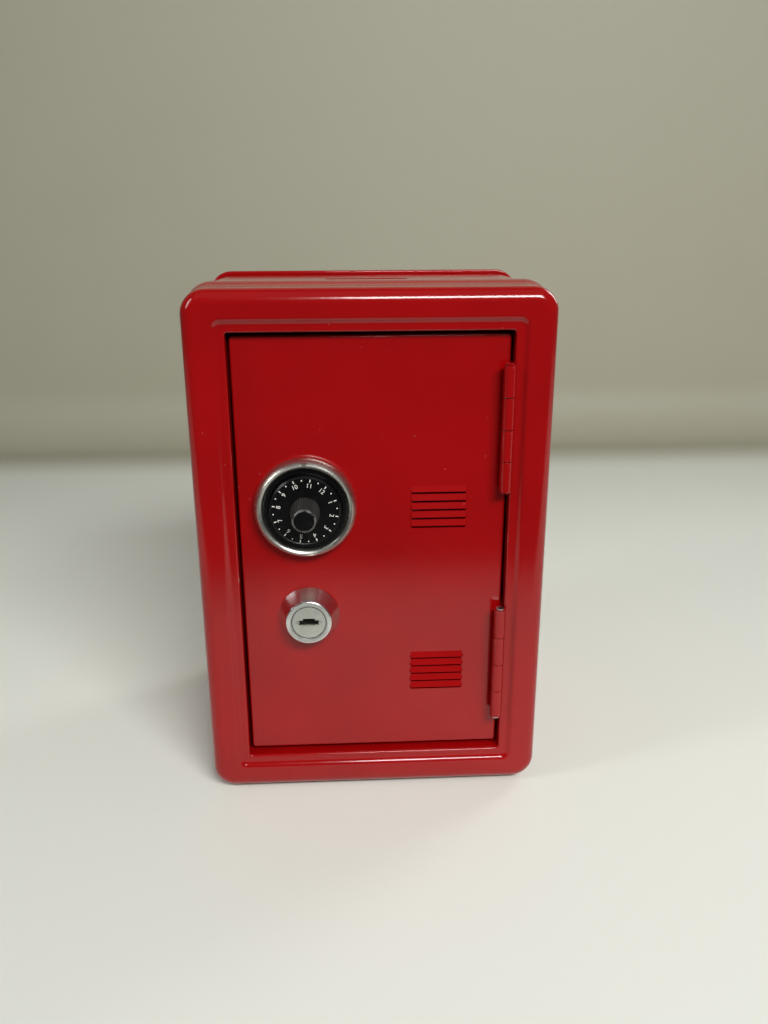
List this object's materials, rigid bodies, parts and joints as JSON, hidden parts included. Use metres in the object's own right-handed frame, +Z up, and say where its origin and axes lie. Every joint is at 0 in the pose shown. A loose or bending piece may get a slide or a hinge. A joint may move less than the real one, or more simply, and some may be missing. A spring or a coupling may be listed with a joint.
{
  "type": "cash box",
  "caption": "Small upright red steel money safe with a side-hinged door, vent louvres, a numbered dial, a cam lock and a coin slot in the top.",
  "frame": {"origin": "bottom centre of the whole object's box, on the surface it stands on", "axes": "+Z up, +X to the right as seen from the front, +Y from the door to the back"},
  "size_m": [0.12, 0.1116, 0.18],
  "materials": {
    "red_enamel": "glossy red enamel on pressed steel",
    "bare_steel": "zinc plated steel",
    "chrome": "bright chrome plate",
    "plug_metal": "nickel plated, brushed face",
    "black_plastic": "black moulded plastic",
    "brass": "stamped brass"
  },
  "bodies": {
    "case": {"front_shell": "red_enamel", "body_wrap": "red_enamel", "rear_shell": "red_enamel", "upper_hinge_frame_leaf": "red_enamel", "lower_hinge_frame_leaf": "red_enamel", "upper_hinge_pin": "bare_steel", "lower_hinge_pin": "bare_steel"},
    "door": {"door_panel": "red_enamel", "upper_hinge_door_leaf": "red_enamel", "lower_hinge_door_leaf": "red_enamel", "dial_bezel": "chrome", "bezel_push_nut": "bare_steel", "lock_housing": "chrome", "lock_star_washer": "bare_steel", "lock_nut": "bare_steel"},
    "dial": {"dial": "black_plastic", "dial_spring_washer": "bare_steel", "dial_retaining_washer": "bare_steel", "dial_screw": "bare_steel"},
    "lock_core": {"lock_plug": "plug_metal", "lock_wafers": "brass", "lock_wafer_springs": "bare_steel", "lock_cam": "bare_steel", "cam_washer": "bare_steel", "cam_screw": "bare_steel"}
  },
  "joints": [
    {"name": "door_swing", "type": "hinge", "parent": "case", "child": "door", "pos_m": [0.0437, -0.0439, 0.09], "axis": [0, 0, 1], "range_deg": [0, 165]},
    {"name": "dial_spin", "type": "hinge", "parent": "door", "child": "dial", "pos_m": [-0.0223, -0.03985, 0.1083], "axis": [0, 1, 0], "continuous": true},
    {"name": "lock_turn", "type": "hinge", "parent": "door", "child": "lock_core", "pos_m": [-0.0223, -0.03985, 0.0684], "axis": [0, 1, 0], "range_deg": [0, 90]}
  ]
}
